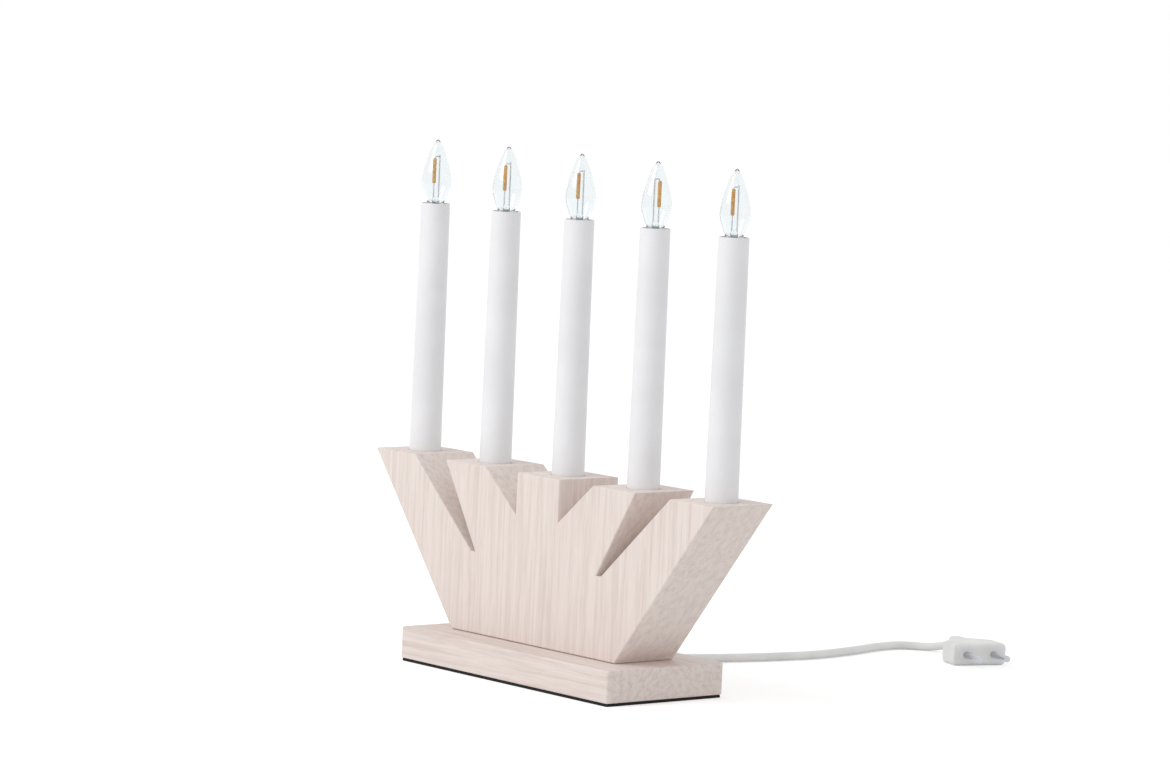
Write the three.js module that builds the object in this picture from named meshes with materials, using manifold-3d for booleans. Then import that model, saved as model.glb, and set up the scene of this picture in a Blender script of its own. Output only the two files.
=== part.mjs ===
import * as THREE from "three";
import { mergeVertices } from "three/addons/utils/BufferGeometryUtils.js";
import Module from "manifold-3d";

// An electric advent candle holder: a fan-shaped wooden block with five fingers on a flat
// wooden foot, five candle sleeves with screw-in lamps, and a mains lead with its plug.
// Millimetres, +Z up, +X along the fan, the front faces -Y, origin under the middle.

const wasm = await Module();
wasm.setup();

// Space between pieces that meet
const GAP = 0.3;

// Foot: a wooden plate on a thin black pad
const BASE_LENGTH = 192;
const BASE_DEPTH = 88;
const BASE_HEIGHT = 18.9;
const WOOD_EDGE = 0.8;
const BASE_CORNER = 2;
const PAD_THICKNESS = 1.5;
const PAD_INSET = 1;
const CHANNEL_WIDTH = 12;
const CHANNEL_DEPTH = 11;

// Fan block
const BLOCK_DEPTH = 45;
const BLOCK_HEIGHT = 100;
const BLOCK_FOOT = 151;
const BLOCK_TOP = 311;
const INNER_NOTCH_NEAR = 19.5;
const INNER_NOTCH_FAR = 49.5;
const INNER_NOTCH_DEPTH = 25;
const OUTER_NOTCH_NEAR = 87.5;
const OUTER_NOTCH_FAR = 117.5;
const OUTER_NOTCH_DEPTH = 51.5;
const OUTER_APEX_NEAR = 56;
const OUTER_APEX_FAR = 60;

// Candles
const CANDLES = 5;
const CANDLE_SPACING = 68.2;
const SLEEVE_HEIGHT = 150.3;
const SLEEVE_TOP_RADIUS = 8.75;
const SLEEVE_BOTTOM_RADIUS = 9.65;
const SLEEVE_WALL = 1.1;
const SLEEVE_RIM = 1;
const SEAT_DEPTH = 8;
const SEAT_CLEARANCE = 0.4;

// Lamp holder, a plastic stalk with an E10 socket
const HOLDER_FOOT = 3;
const STALK_RADIUS = 5;
const WIRE_BORE = 3;
const SOCKET_DROP = 1.5;
const SOCKET_DEPTH = 18;
const SOCKET_CLEARANCE = 0.35;
const SOCKET_FLOOR = 2.5;
const CONTACT_HOLE = 1.6;
const CONTACT_HEIGHT = 2.5;

// Lamp
const CAP_RADIUS = 4.75;
const CAP_WALL = 0.4;
const CAP_TIP_RADIUS = 1.8;
const CAP_SOLID = 4;
const GLASS_WALL = 0.7;
// Outer radius of the glass at each height over the sleeve's rim
const GLASS_PROFILE = [
  [5.1, 0],
  [5.4, 1],
  [6.5, 3.4],
  [8.4, 9],
  [8.9, 12.5],
  [8.6, 16],
  [7.9, 20],
  [6.5, 25],
  [4.6, 31],
  [2.6, 35.6],
  [1.4, 37.2],
];
const GLASS_HEIGHT = 38.5;
const STEM_RADIUS = 2.2;
const STEM_RISE = 4;
const LEAD_RADIUS = 0.35;
const LEAD_OFFSET = 1.5;
const STICK_RADIUS = 1.1;
const STICK_START = 12;
const STICK_LENGTH = 15;
// Which way each lamp's filament faces when its cap is tight, degrees
const FILAMENT_TURN = [50, 50, 50, 230, 50];

// Screws that hold the block on the foot
const SCREW_X = 37;
const SCREW_Y = 13;
const SCREW_RADIUS = 1.9;
const SCREW_HEAD_RADIUS = 4;
const SCREW_HEAD_HEIGHT = 2.5;
const SCREW_LENGTH = 38;

// Wires leave the block's seats for the foot's channel at this spacing
const WIRE_SPACING = 25;

// Mains lead
const CORD_RADIUS = 2.5;
const CORD_HOLE_CLEARANCE = 0.4;
const CORD_SIDES = 10;
const COIL_SIDES = 6;
const COIL_STEPS_PER_TURN = 24;
const COIL_TURNS_PER_LAYER = 3;
const COIL_PITCH = 6.4;
const COIL_INNER_RADIUS = 20;
const COIL_SPACE = 5;
const COIL_X = -58;
const LEAD_INSIDE = 22;
// The run on the floor behind the holder, from the coil to the plug: x, y
const RUN_POINTS = [
  [-16, 124],
  [-9, 143],
  [-2, 172],
  [2, 204],
  [-2, 238],
  [-8, 264],
  [-7, 284],
  [6, 297],
  [30, 294],
];

// Plug, a flat two-pin one
const PLUG_LENGTH = 36;
const PLUG_WIDTH = 35;
const PLUG_NECK = 8;
const PLUG_HEIGHT = 13.7;
const PLUG_EDGE = 2.5;
const PLUG_HEADING = -18;
const PIN_RADIUS = 2;
const PIN_LENGTH = 19;
const PIN_SPACING = 18.6;

// Worked out from the sizes above
const baseBottom = PAD_THICKNESS + GAP;
const baseTop = PAD_THICKNESS + GAP + BASE_HEIGHT;
const blockBottom = baseTop + GAP;
const blockTop = blockBottom + BLOCK_HEIGHT;
const seatFloor = blockTop - SEAT_DEPTH;
const seatRadius = SLEEVE_BOTTOM_RADIUS + SEAT_CLEARANCE;
const rim = blockTop + SLEEVE_HEIGHT;
const holderTop = rim - SOCKET_DROP;
const socketFloor = holderTop - SOCKET_DEPTH;
const socketRadius = CAP_RADIUS + SOCKET_CLEARANCE;
const contactTop = socketFloor + GAP + CONTACT_HEIGHT;
const capBottom = contactTop + GAP;
const capFloor = capBottom + CAP_SOLID;

const wood = new THREE.MeshStandardMaterial({ color: 0xe2d6d0, roughness: 0.7 });
const felt = new THREE.MeshStandardMaterial({ color: 0x151515, roughness: 0.95 });
const sleevePlastic = new THREE.MeshStandardMaterial({ color: 0xe8e8ea, roughness: 0.45 });
const holderPlastic = new THREE.MeshStandardMaterial({ color: 0xdededa, roughness: 0.5 });
const brass = new THREE.MeshStandardMaterial({ color: 0xb08d4a, roughness: 0.3, metalness: 1 });
const steel = new THREE.MeshStandardMaterial({ color: 0xb9bcc0, roughness: 0.3, metalness: 1 });
const glass = new THREE.MeshStandardMaterial({
  color: 0xf4f8fa,
  roughness: 0.05,
  transparent: true,
  opacity: 0.35,
});
const amber = new THREE.MeshStandardMaterial({ color: 0xd88a2a, roughness: 0.5 });
const cordPlastic = new THREE.MeshStandardMaterial({ color: 0xe6e6e4, roughness: 0.5 });

const holder = new THREE.Group();

// A closed three.js geometry as a solid that can be joined and cut
function solidOf(geometry) {
  const loose = geometry.index ? geometry.toNonIndexed() : geometry;
  const bare = new THREE.BufferGeometry();
  bare.setAttribute("position", loose.getAttribute("position"));
  const merged = mergeVertices(bare, 1e-4);
  const corners = merged.index.array;
  const kept = [];
  for (let i = 0; i < corners.length; i += 3) {
    const [a, b, c] = corners.slice(i, i + 3);
    if (a !== b && b !== c && c !== a) kept.push(a, b, c);
  }
  const build = (triangles) =>
    new wasm.Manifold(
      new wasm.Mesh({
        numProp: 3,
        vertProperties: merged.attributes.position.array,
        triVerts: new Uint32Array(triangles),
      }),
    );
  const solid = build(kept);
  return solid.volume() > 0 ? solid : build(kept.reverse());
}

function addPiece(name, solid, material) {
  const result = solid.getMesh();
  const geometry = new THREE.BufferGeometry();
  const points = new Float32Array(result.vertProperties);
  geometry.setAttribute("position", new THREE.BufferAttribute(points, 3));
  geometry.setIndex(new THREE.BufferAttribute(new Uint32Array(result.triVerts), 1));
  geometry.computeVertexNormals();
  const mesh = new THREE.Mesh(geometry, material);
  mesh.name = name;
  holder.add(mesh);
}

// A turned solid about an upright axis at x, from [radius, height] points
function turned(profile, segments, x = 0, y = 0) {
  const points = profile.map(([r, z]) => new THREE.Vector2(r, z));
  const geometry = new THREE.LatheGeometry(points, segments);
  return solidOf(geometry.rotateX(Math.PI / 2).translate(x, y, 0));
}

// A round bar between two points
function bar(radius, from, to, segments = 20) {
  const start = new THREE.Vector3(...from);
  const along = new THREE.Vector3(...to).sub(start);
  const geometry = new THREE.CylinderGeometry(radius, radius, along.length(), segments);
  geometry.translate(0, along.length() / 2, 0);
  const turn = new THREE.Quaternion();
  turn.setFromUnitVectors(new THREE.Vector3(0, 1, 0), along.clone().normalize());
  geometry.applyQuaternion(turn);
  return solidOf(geometry.translate(start.x, start.y, start.z));
}

function box(size, centre) {
  return solidOf(new THREE.BoxGeometry(...size).translate(...centre));
}

// An outline drawn flat, with eased edges, given its thickness along +Z from 0
function slab(shape, thickness, edge, steps = 2) {
  const geometry = new THREE.ExtrudeGeometry(shape, {
    depth: thickness - 2 * edge,
    bevelThickness: edge,
    bevelSize: edge,
    bevelOffset: -edge,
    bevelSegments: steps,
    curveSegments: 4,
  });
  return geometry.translate(0, 0, edge);
}

function roundedRectangle(length, depth, corner) {
  const shape = new THREE.Shape();
  const x = length / 2;
  const y = depth / 2;
  shape.moveTo(-x + corner, -y);
  shape.lineTo(x - corner, -y);
  shape.quadraticCurveTo(x, -y, x, -y + corner);
  shape.lineTo(x, y - corner);
  shape.quadraticCurveTo(x, y, x - corner, y);
  shape.lineTo(-x + corner, y);
  shape.quadraticCurveTo(-x, y, -x, y - corner);
  shape.lineTo(-x, -y + corner);
  shape.quadraticCurveTo(-x, -y, -x + corner, -y);
  return shape;
}

const candleX = (i) => (i - (CANDLES - 1) / 2) * CANDLE_SPACING;
const wireX = (i) => (i - (CANDLES - 1) / 2) * WIRE_SPACING;

// The foot's pad and plate. The plate has a routed channel under it, wire holes up into
// the block, two countersunk screw holes and the lead's hole in its back.
const padLength = BASE_LENGTH - 2 * PAD_INSET;
const padDepth = BASE_DEPTH - 2 * PAD_INSET;
const pad = box([padLength, padDepth, PAD_THICKNESS], [0, 0, PAD_THICKNESS / 2]);
addPiece("base_pad", pad, felt);

const floorHeight = CORD_RADIUS + GAP;
const leadHeight = floorHeight + COIL_PITCH;
const coilOuterRadius = COIL_INNER_RADIUS + COIL_PITCH * COIL_TURNS_PER_LAYER;
const leadX = COIL_X + coilOuterRadius;
const leadStart = BASE_DEPTH / 2 - LEAD_INSIDE;
const screwPlaces = [
  [-SCREW_X, SCREW_Y],
  [SCREW_X, -SCREW_Y],
];

const baseOutline = roundedRectangle(BASE_LENGTH, BASE_DEPTH, BASE_CORNER);
const baseGeometry = slab(baseOutline, BASE_HEIGHT, WOOD_EDGE).translate(0, 0, baseBottom);
const channelLength = WIRE_SPACING * (CANDLES - 1) + CHANNEL_WIDTH;
const channelTop = baseBottom + CHANNEL_DEPTH;
let plate = solidOf(baseGeometry);
plate = plate.subtract(
  box([channelLength, CHANNEL_WIDTH, 2 * CHANNEL_DEPTH], [0, 0, baseBottom]),
);
const inletDepth = leadStart + CHANNEL_WIDTH / 2;
plate = plate.subtract(
  box([CHANNEL_WIDTH, inletDepth, 2 * CHANNEL_DEPTH], [leadX, inletDepth / 2, baseBottom]),
);
const cordHole = CORD_RADIUS + CORD_HOLE_CLEARANCE;
plate = plate.subtract(
  bar(cordHole, [leadX, leadStart - CORD_RADIUS, leadHeight], [leadX, BASE_DEPTH, leadHeight]),
);
for (let i = 0; i < CANDLES; i += 1) {
  plate = plate.subtract(bar(WIRE_BORE, [wireX(i), 0, channelTop - 1], [wireX(i), 0, blockTop]));
}

// A screw's outline from the head's underside up, wider by a clearance where it is a hole
function screwProfile(clearance, headLow) {
  const head = SCREW_HEAD_RADIUS + clearance;
  const shank = SCREW_RADIUS + clearance;
  const top = baseBottom + SCREW_LENGTH;
  return [
    [0, headLow],
    [head, headLow],
    [head, baseBottom + GAP],
    [shank, baseBottom + GAP + SCREW_HEAD_HEIGHT],
    [shank, top - SCREW_RADIUS + clearance],
    [0, top + 2 * clearance],
  ];
}
const screwHoles = screwPlaces.map(([x, y]) =>
  turned(screwProfile(GAP, baseBottom - 1), 16, x, y),
);
for (const hole of screwHoles) plate = plate.subtract(hole);
addPiece("base_plate", plate, wood);
screwPlaces.forEach(([x, y], i) => {
  addPiece("block_screw_" + (i + 1), turned(screwProfile(0, baseBottom), 16, x, y), steel);
});

// The fan block: one outline, symmetric about the middle finger, cut right through
const halfOutline = [
  [BLOCK_FOOT / 2, 0],
  [BLOCK_TOP / 2, BLOCK_HEIGHT],
  [OUTER_NOTCH_FAR, BLOCK_HEIGHT],
  [OUTER_APEX_FAR, BLOCK_HEIGHT - OUTER_NOTCH_DEPTH],
  [OUTER_APEX_NEAR, BLOCK_HEIGHT - OUTER_NOTCH_DEPTH],
  [OUTER_NOTCH_NEAR, BLOCK_HEIGHT],
  [INNER_NOTCH_FAR, BLOCK_HEIGHT],
  [INNER_NOTCH_NEAR, BLOCK_HEIGHT - INNER_NOTCH_DEPTH],
  [INNER_NOTCH_NEAR, BLOCK_HEIGHT],
];
const mirrored = halfOutline.map(([x, z]) => [-x, z]).reverse();
const outlinePoints = [...halfOutline, ...mirrored].map(([x, z]) => new THREE.Vector2(x, z));
const blockGeometry = slab(new THREE.Shape(outlinePoints), BLOCK_DEPTH, WOOD_EDGE);
blockGeometry.rotateX(Math.PI / 2).translate(0, BLOCK_DEPTH / 2, blockBottom);
let block = solidOf(blockGeometry);
for (let i = 0; i < CANDLES; i += 1) {
  const x = candleX(i);
  block = block.subtract(bar(seatRadius, [x, 0, seatFloor], [x, 0, blockTop + 5], 32));
  block = block.subtract(bar(WIRE_BORE, [wireX(i), 0, baseTop], [x, 0, seatFloor + 2]));
}
for (const hole of screwHoles) block = block.subtract(hole);
addPiece("fan_block", block, wood);

// Each candle: a holder stalk in the seat, a contact, the sleeve over them, and the lamp
for (let i = 0; i < CANDLES; i += 1) {
  const x = candleX(i);
  const n = i + 1;

  const holderBottom = seatFloor + GAP;
  const holderFootTop = holderBottom + HOLDER_FOOT;
  const cupRadius = SLEEVE_TOP_RADIUS - SLEEVE_WALL - GAP;
  const cupBottom = socketFloor - SOCKET_FLOOR;
  const stalk = [
    [WIRE_BORE, holderBottom],
    [seatRadius - GAP, holderBottom],
    [seatRadius - GAP, holderFootTop],
    [STALK_RADIUS, holderFootTop],
    [STALK_RADIUS, cupBottom - (cupRadius - STALK_RADIUS)],
    [cupRadius, cupBottom],
    [cupRadius, holderTop],
    [socketRadius, holderTop],
    [socketRadius, socketFloor],
    [CONTACT_HOLE, socketFloor],
    [CONTACT_HOLE, cupBottom],
    [WIRE_BORE, cupBottom - 1.5],
    [WIRE_BORE, holderBottom],
  ];
  addPiece("lamp_holder_" + n, turned(stalk, 20, x), holderPlastic);

  const contactBottom = socketFloor + GAP;
  const contact = [
    [0, socketFloor - SOCKET_FLOOR + GAP],
    [CONTACT_HOLE - GAP, socketFloor - SOCKET_FLOOR + GAP],
    [CONTACT_HOLE - GAP, contactBottom],
    [3, contactBottom],
    [3, contactBottom + 0.6],
    [1.5, contactTop],
    [0, contactTop],
  ];
  addPiece("contact_" + n, turned(contact, 12, x), brass);

  const sleeveBottom = holderFootTop + GAP;
  const innerTop = SLEEVE_TOP_RADIUS - SLEEVE_WALL;
  const sleeve = [
    [SLEEVE_BOTTOM_RADIUS - SLEEVE_WALL, sleeveBottom],
    [SLEEVE_BOTTOM_RADIUS, sleeveBottom],
    [SLEEVE_BOTTOM_RADIUS, blockTop],
    [SLEEVE_TOP_RADIUS, rim - SLEEVE_RIM],
    [SLEEVE_TOP_RADIUS - 0.3 * SLEEVE_RIM, rim - 0.3 * SLEEVE_RIM],
    [SLEEVE_TOP_RADIUS - SLEEVE_RIM, rim],
    [innerTop, rim - 0.1 * SLEEVE_RIM],
    [SLEEVE_BOTTOM_RADIUS - SLEEVE_WALL, blockTop],
    [SLEEVE_BOTTOM_RADIUS - SLEEVE_WALL, sleeveBottom],
  ];
  addPiece("candle_sleeve_" + n, turned(sleeve, 32, x), sleevePlastic);

  const capInner = CAP_RADIUS - CAP_WALL;
  const cap = [
    [0, capBottom],
    [CAP_TIP_RADIUS, capBottom],
    [CAP_TIP_RADIUS, capBottom + 1],
    [CAP_RADIUS, capBottom + 2.5],
    [CAP_RADIUS, holderTop],
    [capInner, holderTop],
    [capInner, capFloor],
    [0, capFloor],
  ];
  addPiece("bulb_cap_" + n, turned(cap, 20, x), brass);

  const neckRadius = capInner - GAP;
  const outer = GLASS_PROFILE.map(([r, z]) => [r, rim + z]);
  const inner = GLASS_PROFILE.map(([r, z]) => [r - GLASS_WALL, rim + z]).slice(0, -1);
  const envelope = [
    [neckRadius, capFloor + 1],
    [neckRadius, holderTop + GAP],
    ...outer,
    [0, rim + GLASS_HEIGHT],
    [0, rim + GLASS_HEIGHT - 1.5 * GLASS_WALL],
    ...inner.reverse(),
    [neckRadius - GLASS_WALL, holderTop + GAP],
    [neckRadius - GLASS_WALL, capFloor + 1],
    [neckRadius, capFloor + 1],
  ];
  addPiece("bulb_glass_" + n, turned(envelope, 24, x), glass);

  const turn = THREE.MathUtils.degToRad(FILAMENT_TURN[i]);
  const side = [Math.cos(turn) * LEAD_OFFSET, Math.sin(turn) * LEAD_OFFSET];
  const wireSide = [x + side[0], side[1]];
  const stickSide = [x - side[0], -side[1]];
  const stemTop = rim + STEM_RISE;
  const stickBottom = rim + STICK_START;
  const stickTop = stickBottom + STICK_LENGTH;
  const hook = stickTop + 1;
  let filament = bar(STEM_RADIUS, [x, 0, capFloor + GAP], [x, 0, stemTop], 12);
  filament = filament
    .add(bar(LEAD_RADIUS, [...wireSide, stemTop - 1], [...wireSide, hook + LEAD_RADIUS], 6))
    .add(bar(LEAD_RADIUS, [...wireSide, hook], [...stickSide, hook], 6))
    .add(bar(LEAD_RADIUS, [...stickSide, stemTop - 1], [...stickSide, hook + LEAD_RADIUS], 6))
    .add(bar(STICK_RADIUS, [...stickSide, stickBottom], [...stickSide, stickTop], 8));
  addPiece("led_filament_" + n, filament, amber);
}

// A tube along points: a many-sided section swept along a smooth curve
function tube(points, sides, steps) {
  const path = new THREE.CatmullRomCurve3(points, false, "centripetal");
  path.arcLengthDivisions = 20 * points.length;
  const section = new THREE.Shape();
  for (let k = 0; k < sides; k += 1) {
    const angle = (2 * Math.PI * k) / sides;
    const [u, v] = [CORD_RADIUS * Math.cos(angle), CORD_RADIUS * Math.sin(angle)];
    if (k) section.lineTo(u, v);
    else section.moveTo(u, v);
  }
  const geometry = new THREE.ExtrudeGeometry(section, { steps, extrudePath: path });
  return { solid: solidOf(geometry), length: path.getLength() };
}

// The coil, laid down as two layers of loops: the lead comes in on top, spirals in, drops a
// layer in the half turn where the spiral reverses, and spirals out along the floor.
const coilY = BASE_DEPTH / 2 + COIL_SPACE + coilOuterRadius + CORD_RADIUS;
const straight = 2 * CORD_RADIUS;
const turnsInLayer = COIL_TURNS_PER_LAYER;
const lastTurn = 2 * turnsInLayer;
function coilPoint(turns) {
  const down = THREE.MathUtils.clamp((turns - turnsInLayer) / 0.5, 0, 1);
  const eased = THREE.MathUtils.smoothstep(down, 0, 1);
  const inward = Math.min(turns, turnsInLayer);
  const outward = Math.max(0, turns - turnsInLayer - 0.5);
  const radius = coilOuterRadius - COIL_PITCH * inward + COIL_PITCH * outward;
  const angle = 2 * Math.PI * turns;
  return new THREE.Vector3(
    COIL_X + radius * Math.cos(angle),
    coilY + radius * Math.sin(angle),
    floorHeight + COIL_PITCH * (1 - eased),
  );
}
const coilPoints = [new THREE.Vector3(leadX, coilY - straight, leadHeight)];
for (let k = 0; k <= lastTurn * COIL_STEPS_PER_TURN; k += 1) {
  coilPoints.push(coilPoint(k / COIL_STEPS_PER_TURN));
}
const coilEnd = coilPoint(lastTurn);
coilPoints.push(new THREE.Vector3(coilEnd.x, coilEnd.y + straight, floorHeight));
const coilSteps = (lastTurn + 1) * COIL_STEPS_PER_TURN;
const coil = tube(coilPoints, COIL_SIDES, coilSteps);
addPiece("cord_coil", coil.solid, cordPlastic);

let least = Infinity;
for (let a = 0; a < coilPoints.length; a += 1) {
  for (let b = a + COIL_STEPS_PER_TURN / 2; b < coilPoints.length; b += 1) {
    least = Math.min(least, coilPoints[a].distanceTo(coilPoints[b]) - 2 * CORD_RADIUS);
  }
}
console.log("least gap between the coil's loops: " + least.toFixed(2) + " mm");

const leadIn = tube(
  [
    new THREE.Vector3(leadX, leadStart, leadHeight),
    new THREE.Vector3(leadX, BASE_DEPTH / 2, leadHeight),
    new THREE.Vector3(leadX, coilY - straight - GAP, leadHeight),
  ],
  CORD_SIDES,
  6,
);
addPiece("cord_lead_in", leadIn.solid, cordPlastic);

// The plug lies flat on the floor at the run's end, and the lead enters it squarely
const heading = THREE.MathUtils.degToRad(PLUG_HEADING);
const ahead = new THREE.Vector3(Math.cos(heading), Math.sin(heading), 0);
const aside = new THREE.Vector3(-Math.sin(heading), Math.cos(heading), 0);
const lastPoint = RUN_POINTS[RUN_POINTS.length - 1];
const plugMiddle = PLUG_HEIGHT / 2;
const runEnd = new THREE.Vector3(...lastPoint, plugMiddle);
const run = tube(
  [
    new THREE.Vector3(coilEnd.x, coilEnd.y + straight + GAP, floorHeight),
    new THREE.Vector3(coilEnd.x, coilEnd.y + 3 * straight, floorHeight),
    ...RUN_POINTS.slice(0, -1).map(([x, y]) => new THREE.Vector3(x, y, floorHeight)),
    runEnd.clone().addScaledVector(ahead, -straight),
    runEnd,
  ],
  CORD_SIDES,
  20,
);
addPiece("cord_run", run.solid, cordPlastic);
const cordLength = leadIn.length + coil.length + run.length;
console.log("lead from the foot to the plug: " + cordLength.toFixed(0) + " mm");

const plugOutline = new THREE.Shape();
plugOutline.moveTo(0, -PLUG_NECK / 2);
plugOutline.lineTo(PLUG_LENGTH * 0.25, -PLUG_NECK / 2);
plugOutline.lineTo(PLUG_LENGTH * 0.55, -PLUG_WIDTH / 2);
plugOutline.lineTo(PLUG_LENGTH, -PLUG_WIDTH / 2);
plugOutline.lineTo(PLUG_LENGTH, PLUG_WIDTH / 2);
plugOutline.lineTo(PLUG_LENGTH * 0.55, PLUG_WIDTH / 2);
plugOutline.lineTo(PLUG_LENGTH * 0.25, PLUG_NECK / 2);
plugOutline.lineTo(0, PLUG_NECK / 2);
const plugGeometry = slab(plugOutline, PLUG_HEIGHT, PLUG_EDGE, 3);
const plugStart = runEnd.clone().addScaledVector(ahead, GAP);
plugGeometry.rotateZ(heading).translate(plugStart.x, plugStart.y, 0);
addPiece("plug_body", solidOf(plugGeometry), cordPlastic);
[-1, 1].forEach((way, i) => {
  const root = plugStart
    .clone()
    .addScaledVector(ahead, PLUG_LENGTH + GAP)
    .addScaledVector(aside, (way * PIN_SPACING) / 2);
  const tip = root.clone().addScaledVector(ahead, PIN_LENGTH);
  addPiece("plug_pin_" + (i + 1), bar(PIN_RADIUS, root.toArray(), tip.toArray(), 16), steel);
});

export default holder;
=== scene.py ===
import math
import bmesh
import bpy
from mathutils import Matrix, Vector


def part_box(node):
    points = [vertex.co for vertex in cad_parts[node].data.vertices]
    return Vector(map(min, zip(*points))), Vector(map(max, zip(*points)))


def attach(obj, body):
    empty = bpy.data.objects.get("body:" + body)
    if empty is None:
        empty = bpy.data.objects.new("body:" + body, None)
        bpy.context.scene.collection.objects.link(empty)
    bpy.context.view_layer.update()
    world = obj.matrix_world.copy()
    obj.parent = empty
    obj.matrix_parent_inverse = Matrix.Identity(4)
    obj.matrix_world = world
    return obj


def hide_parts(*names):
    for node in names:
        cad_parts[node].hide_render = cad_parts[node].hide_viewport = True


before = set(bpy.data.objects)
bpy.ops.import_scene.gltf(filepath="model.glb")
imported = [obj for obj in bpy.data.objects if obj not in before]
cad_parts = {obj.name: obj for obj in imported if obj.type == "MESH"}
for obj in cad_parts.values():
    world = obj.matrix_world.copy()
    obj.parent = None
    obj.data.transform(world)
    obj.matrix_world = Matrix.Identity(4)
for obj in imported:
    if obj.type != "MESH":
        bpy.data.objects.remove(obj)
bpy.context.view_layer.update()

# The camera stands to the front right, a little higher than the lamps, and leans slightly.
# Its place was fitted to the corners of the foot and block and to the candles' edges.
MM = 0.001
PHOTO_WIDTH = 1170
FOCAL_PIXELS = 4979.4
SENSOR_WIDTH = 36
CAMERA_AZIMUTH = math.radians(49.966)
CAMERA_ELEVATION = math.radians(5.232)
CAMERA_ROLL = math.radians(2.596)
CAMERA_DISTANCE = 2919.6 * MM
CAMERA_REACH = 50
AIM_ASIDE = 7.743 * MM
AIM_HEIGHT = 171.12 * MM

back = Vector((
    math.sin(CAMERA_AZIMUTH) * math.cos(CAMERA_ELEVATION),
    -math.cos(CAMERA_AZIMUTH) * math.cos(CAMERA_ELEVATION),
    math.sin(CAMERA_ELEVATION),
))
level = Vector((math.cos(CAMERA_AZIMUTH), math.sin(CAMERA_AZIMUTH), 0))
upward = back.cross(level)
right = level * math.cos(CAMERA_ROLL) + upward * math.sin(CAMERA_ROLL)
top = upward * math.cos(CAMERA_ROLL) - level * math.sin(CAMERA_ROLL)
aim = level * AIM_ASIDE + Vector((0, 0, AIM_HEIGHT))
camera_data = bpy.data.cameras.new("camera")
camera_data.sensor_width = SENSOR_WIDTH
camera_data.sensor_fit = "HORIZONTAL"
camera_data.lens = SENSOR_WIDTH * FOCAL_PIXELS / PHOTO_WIDTH
camera_data.clip_end = CAMERA_REACH
camera = bpy.data.objects.new("camera", camera_data)
camera.matrix_world = Matrix.Translation(aim + back * CAMERA_DISTANCE) @ Matrix(
    (right, top, back)
).transposed().to_4x4()
bpy.context.collection.objects.link(camera)
bpy.context.scene.camera = camera
bpy.context.scene.view_settings.view_transform = "Standard"


def smooth(points, parts):
    """More points on a smooth curve through these ones."""
    points = [Vector(p) for p in points]
    ends = [2 * points[0] - points[1], *points, 2 * points[-1] - points[-2]]
    made = []
    for a, b, c, d in zip(ends, ends[1:], ends[2:], ends[3:]):
        for k in range(parts):
            t = k / parts
            made.append(0.5 * (2 * b + (c - a) * t + (2 * a - 5 * b + 4 * c - d) * t**2
                               + (3 * b - a - 3 * c + d) * t**3))
    return made + [points[-1]]


def tube(name, places, radius, roundness):
    """A round tube with closed ends along these places, in millimetres."""
    curve = bpy.data.curves.new(name, "CURVE")
    curve.dimensions = "3D"
    curve.bevel_depth = radius * MM
    curve.bevel_resolution = roundness
    curve.use_fill_caps = True
    line = curve.splines.new("POLY")
    line.points.add(len(places) - 1)
    for point, place in zip(line.points, places):
        point.co = (*(place * MM), 1)
    line.use_smooth = True
    piece = bpy.data.objects.new(name, curve)
    bpy.context.collection.objects.link(piece)
    return piece


# The mains lead is a round white PVC cord. It leaves the foot's back, lies in one coil
# close behind the foot, and runs on over the table to its plug. The coil winds inwards in
# an upper layer, falls over LAYER_FALL of a turn, and winds outwards in a lower one.
CORD_RADIUS = 2.5
CORD_START_INSIDE = 15
CORD_ROUNDNESS = 5
PIECE_GAP = 0.3
COIL_TURNS = 3
COIL_PITCH = 6.4
COIL_INNER_RADIUS = 20
COIL_X = -58
COIL_SPACE = 5
COIL_STEPS = 24
LAYER_FALL = 0.5
RUN_POINTS = [(-16, 124), (-9, 143), (-2, 172), (2, 204), (-2, 238), (-8, 264),
              (-7, 284), (6, 297), (30, 294)]
RUN_STEPS = 3
PLUG_HEADING = math.radians(-18)
PLUG_MIDDLE = 6.85

foot_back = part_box("base_plate")[1].y / MM
coil_outer = COIL_INNER_RADIUS + COIL_PITCH * COIL_TURNS
coil_y = foot_back + COIL_SPACE + coil_outer + CORD_RADIUS
cord_x = COIL_X + coil_outer
floor_height = CORD_RADIUS + PIECE_GAP
lead_height = floor_height + COIL_PITCH
route = [Vector((cord_x, foot_back - CORD_START_INSIDE, lead_height)),
         Vector((cord_x, foot_back, lead_height)),
         Vector((cord_x, (foot_back + coil_y) / 2, lead_height))]
for k in range(2 * COIL_TURNS * COIL_STEPS + 1):
    turns = k / COIL_STEPS
    fall = min(max((turns - COIL_TURNS) / LAYER_FALL, 0), 1)
    eased = fall * fall * (3 - 2 * fall)
    radius = coil_outer - COIL_PITCH * min(turns, COIL_TURNS)
    radius += COIL_PITCH * max(0, turns - COIL_TURNS - LAYER_FALL)
    route.append(Vector((COIL_X + radius * math.cos(math.tau * turns),
                         coil_y + radius * math.sin(math.tau * turns),
                         floor_height + COIL_PITCH * (1 - eased))))
leaving = route[-1]
straight = 2 * CORD_RADIUS
plug_start = Vector((*RUN_POINTS[-1], PLUG_MIDDLE))
plug_ahead = Vector((math.cos(PLUG_HEADING), math.sin(PLUG_HEADING), 0))
run = [leaving, leaving + Vector((0, straight, 0)), leaving + Vector((0, 3 * straight, 0)),
       *[Vector((x, y, floor_height)) for x, y in RUN_POINTS[:-1]],
       plug_start - plug_ahead * straight, plug_start]
route += smooth(run, RUN_STEPS)[1:]
mains_lead = tube("mains_lead", route, CORD_RADIUS, CORD_ROUNDNESS)


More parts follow.
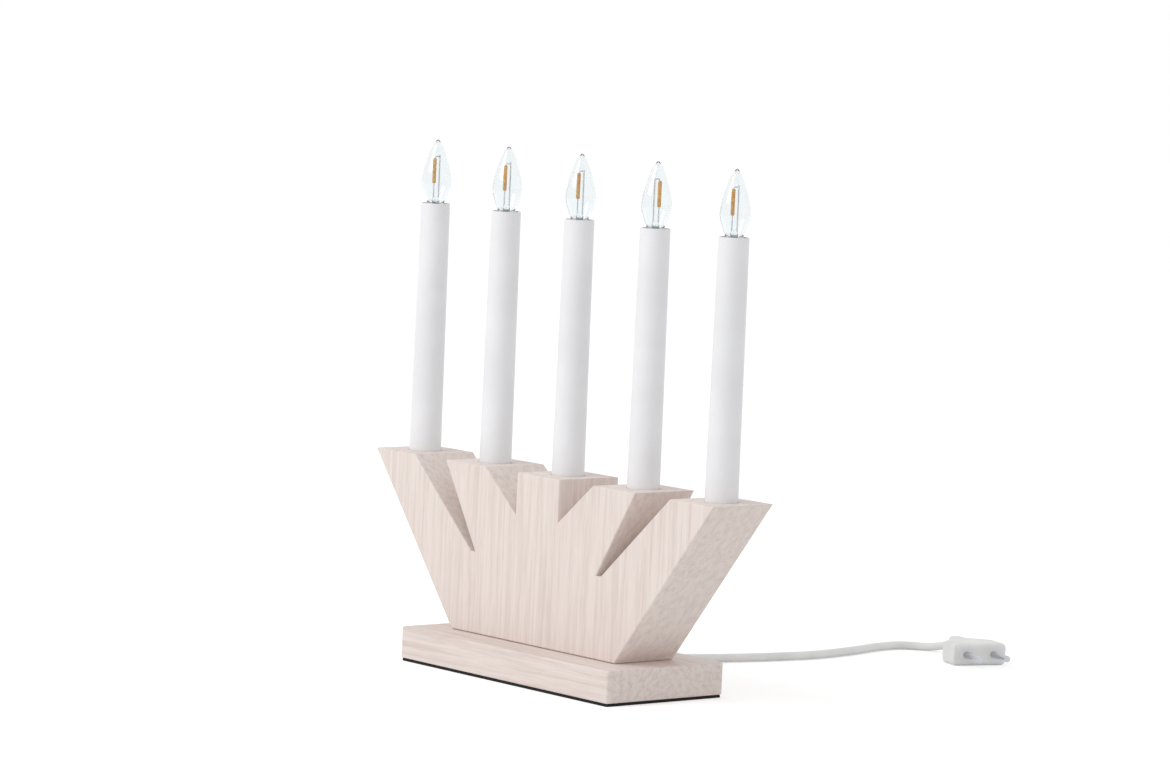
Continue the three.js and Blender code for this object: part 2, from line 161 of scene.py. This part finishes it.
def linear(code):
    """An sRGB hex colour as the linear one that a shader takes."""
    parts = [int(code[i:i + 2], 16) / 255 for i in (1, 3, 5)]
    return (*[c / 12.92 if c <= 0.04045 else ((c + 0.055) / 1.055) ** 2.4 for c in parts], 1)


def add_node(tree, kind, inputs=None, **settings):
    """Adds a node with its settings; each input takes a value or another node's socket."""
    node = tree.nodes.new(kind)
    for key, value in settings.items():
        setattr(node, key, value)
    for key, value in (inputs or {}).items():
        if isinstance(value, bpy.types.NodeSocket):
            tree.links.new(value, node.inputs[key])
        else:
            node.inputs[key].default_value = value
    return node


def new_material(name):
    """A new material, its node tree and its surface shader."""
    material = bpy.data.materials.new(name)
    material.use_nodes = True
    return material, material.node_tree, material.node_tree.nodes["Principled BSDF"]


def two_tones(tree, factor, first, second, low=0.35, high=0.65):
    """A colour that goes from the first tone to the second as the factor rises."""
    ramp = add_node(tree, "ShaderNodeValToRGB", {"Fac": factor})
    ramp.color_ramp.elements[0].position = low
    ramp.color_ramp.elements[0].color = linear(first)
    ramp.color_ramp.elements[1].position = high
    ramp.color_ramp.elements[1].color = linear(second)
    return ramp.outputs["Color"]


def moulded(name, first, second, roughness, grit, depth, patch=12):
    """A moulded plastic: a faint drift of tone over patches, and a fine grit in the gloss."""
    material, tree, shader = new_material(name)
    place = add_node(tree, "ShaderNodeTexCoord").outputs["Object"]
    drift = add_node(tree, "ShaderNodeTexNoise",
                     {"Vector": place, "Scale": 1 / (patch * MM), "Detail": 2.0})
    fine = add_node(tree, "ShaderNodeTexNoise",
                    {"Vector": place, "Scale": 1 / (grit * MM), "Detail": 2.0})
    bump = add_node(tree, "ShaderNodeBump",
                    {"Height": fine.outputs["Fac"], "Strength": 0.2, "Distance": depth * MM})
    tree.links.new(two_tones(tree, drift.outputs["Fac"], first, second),
                   shader.inputs["Base Color"])
    tree.links.new(bump.outputs["Normal"], shader.inputs["Normal"])
    shader.inputs["Roughness"].default_value = roughness
    shader.inputs["IOR"].default_value = 1.5
    return material


def clouded(name, first, second, size, roughness, metallic=0, detail=3.0):
    """A metal or felt with no relief, whose tone drifts in clouds of this size."""
    material, tree, shader = new_material(name)
    place = add_node(tree, "ShaderNodeTexCoord").outputs["Object"]
    cloud = add_node(tree, "ShaderNodeTexNoise",
                     {"Vector": place, "Scale": 1 / (size * MM), "Detail": detail})
    tree.links.new(two_tones(tree, cloud.outputs["Fac"], first, second),
                   shader.inputs["Base Color"])
    shader.inputs["Metallic"].default_value = metallic
    shader.inputs["Roughness"].default_value = roughness
    return material


# Soft PVC, extruded white: an even colour with a dull, slightly waxy gloss.
soft_pvc = moulded("soft_white_pvc", "#e0e0df", "#e8e8e7",
                   roughness=0.42, grit=0.8, depth=0.02)
mains_lead.data.materials.append(soft_pvc)
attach(mains_lead, "holder")
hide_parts("cord_lead_in", "cord_coil", "cord_run")


def finish_node(name, material):
    """Gives a CAD node this material instead of its own."""
    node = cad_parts[name]
    node.data.materials.clear()
    node.data.materials.append(material)


finish_node("plug_body", soft_pvc)

# The plug's pins and the block's screws are steel under bright zinc or nickel.
zinc_plate = clouded("zinc_plated_steel", "#b9bcc0", "#c9ccd0",
                     size=2, roughness=0.28, metallic=1)
for name in ("plug_pin_1", "plug_pin_2", "block_screw_1", "block_screw_2"):
    finish_node(name, zinc_plate)

# The foot and the block are sawn pine under a thin white wash, so the grain shows as
# soft pinkish bands. It runs up the block and along the foot.
GRAIN_WIDTH = 3.2
GRAIN_LENGTH = 90
FIBRE_WIDTH = 0.5
FIBRE_LENGTH = 14
FIBRE_SHARE = 0.35
UP = 2
ALONG = 0


def washed_pine(name, along, pale, dark):
    """Pine with its grain along one axis: broad bands, and fine fibres between them."""
    material, tree, shader = new_material(name)
    place = add_node(tree, "ShaderNodeTexCoord").outputs["Object"]
    sizes = ((GRAIN_WIDTH, GRAIN_LENGTH), (FIBRE_WIDTH, FIBRE_LENGTH))
    patterns = []
    for across, length in sizes:
        stretch = [1 / (across * MM)] * 3
        stretch[along] = 1 / (length * MM)
        mapped = add_node(tree, "ShaderNodeMapping", {"Vector": place, "Scale": stretch})
        noise = add_node(tree, "ShaderNodeTexNoise", {
            "Vector": mapped.outputs["Vector"], "Scale": 1.0, "Detail": 4.0,
            "Roughness": 0.6, "Distortion": 0.4})
        patterns.append(noise.outputs["Fac"])
    fibres = add_node(tree, "ShaderNodeMath",
                      {0: patterns[1], 1: FIBRE_SHARE}, operation="MULTIPLY")
    grain = add_node(tree, "ShaderNodeMath",
                     {0: patterns[0], 1: 1 - FIBRE_SHARE}, operation="MULTIPLY")
    both = add_node(tree, "ShaderNodeMath",
                    {0: grain.outputs[0], 1: fibres.outputs[0]}, operation="ADD")
    tree.links.new(two_tones(tree, both.outputs[0], dark, pale, low=0.36, high=0.56),
                   shader.inputs["Base Color"])
    bump = add_node(tree, "ShaderNodeBump", {
        "Height": both.outputs[0], "Strength": 0.35, "Distance": 0.15 * MM})
    tree.links.new(bump.outputs["Normal"], shader.inputs["Normal"])
    shader.inputs["Roughness"].default_value = 0.62
    shader.inputs["IOR"].default_value = 1.5
    return material


finish_node("fan_block", washed_pine("washed_pine_upright", UP, "#e6dad4", "#d6c8c1"))
finish_node("base_plate", washed_pine("washed_pine_lengthwise", ALONG, "#e4d8d2", "#d0c1ba"))

# A thin black felt pad is glued under the foot.
finish_node("base_pad", clouded("black_felt", "#0c0c0d", "#1d1d1e",
                                size=0.6, roughness=0.95, detail=4.0))

# Each candle sleeve is a tapered white plastic tube with a rounded rim. It stands in the
# block over the lamp holder.
CANDLES = 5
TURNING_STEPS = 72
SHARP_ANGLE = math.radians(40)
WELD_DISTANCE = 0.001
SLEEVE_TOP_RADIUS = 8.75
SLEEVE_WALL = 1.1
RIM_ROUND = 0.55
RIM_STEP = 20


def turned(name, profile, x, material, y=0):
    """A turned piece about an upright axis, from a closed outline in millimetres."""
    shape = bmesh.new()
    rings = []
    for k in range(TURNING_STEPS):
        angle = math.tau * k / TURNING_STEPS
        rings.append([shape.verts.new(((x + r * math.cos(angle)) * MM,
                                       (y + r * math.sin(angle)) * MM, z * MM))
                      for r, z in profile])
    for here, there in zip(rings, rings[1:] + rings[:1]):
        for i in range(len(profile)):
            j = (i + 1) % len(profile)
            if profile[i][0] or profile[j][0]:
                shape.faces.new((here[i], there[i], there[j], here[j]))
    bmesh.ops.remove_doubles(shape, verts=shape.verts, dist=WELD_DISTANCE * MM)
    bmesh.ops.recalc_face_normals(shape, faces=shape.faces)
    mesh = bpy.data.meshes.new(name)
    shape.to_mesh(mesh)
    shape.free()
    mesh.shade_smooth()
    mesh.set_sharp_from_angle(angle=SHARP_ANGLE)
    mesh.materials.append(material)
    piece = bpy.data.objects.new(name, mesh)
    bpy.context.collection.objects.link(piece)
    return piece


satin_white = moulded("satin_white_styrene", "#e5e5e7", "#ebebed",
                      roughness=0.38, grit=1.2, depth=0.02, patch=30)
block_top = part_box("fan_block")[1].z / MM
wall_middle = SLEEVE_TOP_RADIUS - SLEEVE_WALL / 2
candle_x = []
for n in range(1, CANDLES + 1):
    node = "candle_sleeve_%d" % n
    low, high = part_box(node)
    x = (low.x + high.x) / 2 / MM
    candle_x.append(x)
    bottom_radius = (high.x - low.x) / 2 / MM
    rim = high.z / MM
    edge = [(wall_middle + RIM_ROUND * math.cos(math.radians(a)),
             rim - RIM_ROUND + RIM_ROUND * math.sin(math.radians(a)))
            for a in range(0, 181, RIM_STEP)]
    outline = [(bottom_radius - SLEEVE_WALL, low.z / MM), (bottom_radius, low.z / MM),
               (bottom_radius, block_top), *edge, (bottom_radius - SLEEVE_WALL, block_top)]
    sleeve = turned("sleeve_%d" % n, outline, x, satin_white)
    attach(sleeve, "holder")
    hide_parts(node)

# The lamp holders are moulded in off-white plastic, with rolled brass contacts, and the
# lamps have brass screw caps.
holder_plastic = moulded("moulded_holder_plastic", "#dad9d4", "#e2e1dd",
                         roughness=0.5, grit=0.9, depth=0.03)
brass = clouded("rolled_brass", "#b08d4a", "#c4a25c", size=1.5, roughness=0.3, metallic=1)
for n in range(1, CANDLES + 1):
    finish_node("lamp_holder_%d" % n, holder_plastic)
    finish_node("contact_%d" % n, brass)
    finish_node("bulb_cap_%d" % n, brass)

# Each lamp has a blown clear glass envelope, drawn to a point like a small flame. Its neck
# fits in the screw cap, and its profile is measured from the sleeve's rim.
CAP_WALL = 0.4
COLLAR_DEPTH = 1.2
GLASS_WALL = 0.7
GLASS_PROFILE = [(5.1, 0), (5.4, 1), (6.5, 3.4), (8.4, 9), (8.9, 12.5), (8.6, 16),
                 (7.9, 20), (6.5, 25), (4.6, 31), (2.6, 35.6), (1.4, 37.2)]
GLASS_STEPS = 4
TIP_RADIUS = 0.7
TIP_HEIGHT = 0.3
TIP_WALL = 1.5 * GLASS_WALL
WAVE_SIZE = 6
clear_glass, glass_tree, glass_shader = new_material("clear_blown_glass")
glass_place = add_node(glass_tree, "ShaderNodeTexCoord").outputs["Object"]
glass_wave = add_node(glass_tree, "ShaderNodeTexNoise",
                      {"Vector": glass_place, "Scale": 1 / (WAVE_SIZE * MM), "Detail": 1.0})
glass_bump = add_node(glass_tree, "ShaderNodeBump", {
    "Height": glass_wave.outputs["Fac"], "Strength": 0.1, "Distance": 0.1 * MM})
glass_tree.links.new(glass_bump.outputs["Normal"], glass_shader.inputs["Normal"])
glass_shader.inputs["Base Color"].default_value = linear("#f6f9fa")
glass_shader.inputs["Roughness"].default_value = 0.01
glass_shader.inputs["IOR"].default_value = 1.47
glass_shader.inputs["Transmission Weight"].default_value = 1
for n, x in enumerate(candle_x, 1):
    node = "bulb_glass_%d" % n
    low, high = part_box(node)
    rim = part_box("candle_sleeve_%d" % n)[1].z / MM
    cap_low, cap_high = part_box("bulb_cap_%d" % n)
    neck = (cap_high.x - cap_low.x) / 2 / MM - (CAP_WALL + PIECE_GAP)
    tip = high.z / MM
    outer = [tuple(p) for p in smooth(
        [Vector((r, rim + z)) for r, z in GLASS_PROFILE], GLASS_STEPS)]
    inner = [(r - GLASS_WALL, z) for r, z in outer[:-GLASS_STEPS]]
    collar = rim - COLLAR_DEPTH
    outline = [(neck, low.z / MM), (neck, collar), *outer, (TIP_RADIUS, tip - TIP_HEIGHT),
               (0, tip), (0, tip - TIP_WALL), *reversed(inner),
               (neck - GLASS_WALL, collar), (neck - GLASS_WALL, low.z / MM)]
    bulb = turned("glass_%d" % n, outline, x, clear_glass)
    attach(bulb, "lamp_%d" % n)
    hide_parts(node)

# Inside, a short stick coated with amber phosphor stands beside a steel wire, which hooks
# over its top. Both rise from a pressed glass stem. FILAMENT_TURN is the angle, in degrees,
# at which each lamp's hooked wire stands.
FILAMENT_TURN = (50, 50, 50, 230, 50)
STEM_RADIUS = 2.2
STEM_TOP_RADIUS = 0.8 * STEM_RADIUS
STEM_TAPER = 2
STEM_RISE = 4
LEAD_RADIUS = 0.35
LEAD_ROUNDNESS = 2
LEAD_OFFSET = 1.5
LEAD_STEPS = 4
LEAD_IN_STEM = 1
LEAD_IN_STICK = 0.5
HOOK_RISE = 1
HOOK_WIDTH = 0.6
STICK_RADIUS = 1.1
STICK_END_RADIUS = 0.7 * STICK_RADIUS
STICK_ROUND = 0.5
STICK_START = 12
STICK_LENGTH = 15
phosphor = moulded("amber_phosphor", "#dd9a3c", "#edb45a",
                   roughness=0.55, grit=0.4, depth=0.05, patch=3)
for n, x in enumerate(candle_x, 1):
    node = "led_filament_%d" % n
    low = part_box(node)[0].z / MM
    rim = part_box("candle_sleeve_%d" % n)[1].z / MM
    turn = math.radians(FILAMENT_TURN[n - 1])
    aside = Vector((math.cos(turn), math.sin(turn), 0)) * LEAD_OFFSET
    stem_top = rim + STEM_RISE
    stick_low = rim + STICK_START
    stick_high = stick_low + STICK_LENGTH
    hook = stick_high + HOOK_RISE
    stem = turned("lamp_stem_%d" % n, [
        (0, low), (STEM_RADIUS, low), (STEM_RADIUS, stem_top - STEM_TAPER),
        (STEM_TOP_RADIUS, stem_top), (0, stem_top)], x, clear_glass)
    stick = turned("lamp_stick_%d" % n, [
        (0, stick_low), (STICK_END_RADIUS, stick_low),
        (STICK_RADIUS, stick_low + STICK_ROUND), (STICK_RADIUS, stick_high - STICK_ROUND),
        (STICK_END_RADIUS, stick_high), (0, stick_high)],
        x - aside.x, phosphor, -aside.y)
    middle = Vector((x, 0, 0))
    hooked = [middle + aside + Vector((0, 0, stem_top - LEAD_IN_STEM)),
              middle + aside + Vector((0, 0, hook - HOOK_RISE)),
              middle + HOOK_WIDTH * aside + Vector((0, 0, hook)),
              middle - HOOK_WIDTH * aside + Vector((0, 0, hook)),
              middle - aside + Vector((0, 0, stick_high - LEAD_IN_STICK))]
    foot = [middle - aside + Vector((0, 0, stem_top - LEAD_IN_STEM)),
            middle - aside + Vector((0, 0, (stem_top + stick_low) / 2)),
            middle - aside + Vector((0, 0, stick_low + LEAD_IN_STICK))]
    wires = []
    for name, places in (("lamp_wire_%d" % n, hooked), ("lamp_foot_wire_%d" % n, foot)):
        wire = tube(name, smooth(places, LEAD_STEPS), LEAD_RADIUS, LEAD_ROUNDNESS)
        wire.data.materials.append(zinc_plate)
        wires.append(wire)
    for piece, finish in ((stem, "glass"), (stick, "filament"), (wires[0], "steel"),
                          (wires[1], "steel")):
        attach(piece, "lamp_%d" % n)
    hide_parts(node)

# A broad soft lamp to the left of the camera and an even sky light it. The white table
# keeps the object's shadow.
LAMP_POWER = 17
LAMP_SIZE = 1.4
LAMP_PLACE = Vector((-0.6, -1.7, 1.5))
SKY_STRENGTH = 0.78
TABLE_LIFT = 0.31
TABLE_SIZE = 12
WHITE = (1, 1, 1, 1)
lamp_data = bpy.data.lights.new("soft_lamp", "AREA")
lamp_data.energy = LAMP_POWER
lamp_data.size = LAMP_SIZE
lamp = bpy.data.objects.new("soft_lamp", lamp_data)
lamp.location = LAMP_PLACE
lamp.rotation_euler = (LAMP_PLACE - aim).to_track_quat("Z", "Y").to_euler()
bpy.context.collection.objects.link(lamp)

world = bpy.data.worlds.new("sky")
bpy.context.scene.world = world
world.use_nodes = True
sky_tree = world.node_tree


def seen_directly(tree):
    """1 on camera, glossy and transmission rays, so metal and glass show the white too."""
    path = add_node(tree, "ShaderNodeLightPath")
    some = add_node(tree, "ShaderNodeMath", {
        0: path.outputs["Is Camera Ray"], 1: path.outputs["Is Glossy Ray"]}, operation="MAXIMUM")
    return add_node(tree, "ShaderNodeMath", {
        0: some.outputs[0], 1: path.outputs["Is Transmission Ray"]},
        operation="MAXIMUM").outputs[0]


sky_level = add_node(sky_tree, "ShaderNodeMapRange", {
    "Value": seen_directly(sky_tree), "To Min": SKY_STRENGTH, "To Max": 1.0})
sky = sky_tree.nodes["Background"]
sky.inputs["Color"].default_value = WHITE
sky_tree.links.new(sky_level.outputs["Result"], sky.inputs["Strength"])

table_mesh = bpy.data.meshes.new("table")
half = TABLE_SIZE / 2
table_mesh.from_pydata([(-half, -half, 0), (half, -half, 0), (half, half, 0), (-half, half, 0)],
                       [], [(0, 1, 2, 3)])
table = bpy.data.objects.new("table", table_mesh)
bpy.context.collection.objects.link(table)
table_white, table_tree, table_shader = new_material("white_table")
table_tree.nodes.remove(table_shader)
table_diffuse = add_node(table_tree, "ShaderNodeBsdfDiffuse", {"Color": linear("#f4f4f4")})
table_lift = add_node(table_tree, "ShaderNodeMath", {
    0: seen_directly(table_tree), 1: TABLE_LIFT}, operation="MULTIPLY")
table_glow = add_node(table_tree, "ShaderNodeEmission", {
    "Color": WHITE, "Strength": table_lift.outputs[0]})
table_sum = add_node(table_tree, "ShaderNodeAddShader", {
    0: table_diffuse.outputs[0], 1: table_glow.outputs[0]})
table_tree.links.new(table_sum.outputs[0], table_tree.nodes["Material Output"].inputs["Surface"])
table_mesh.materials.append(table_white)
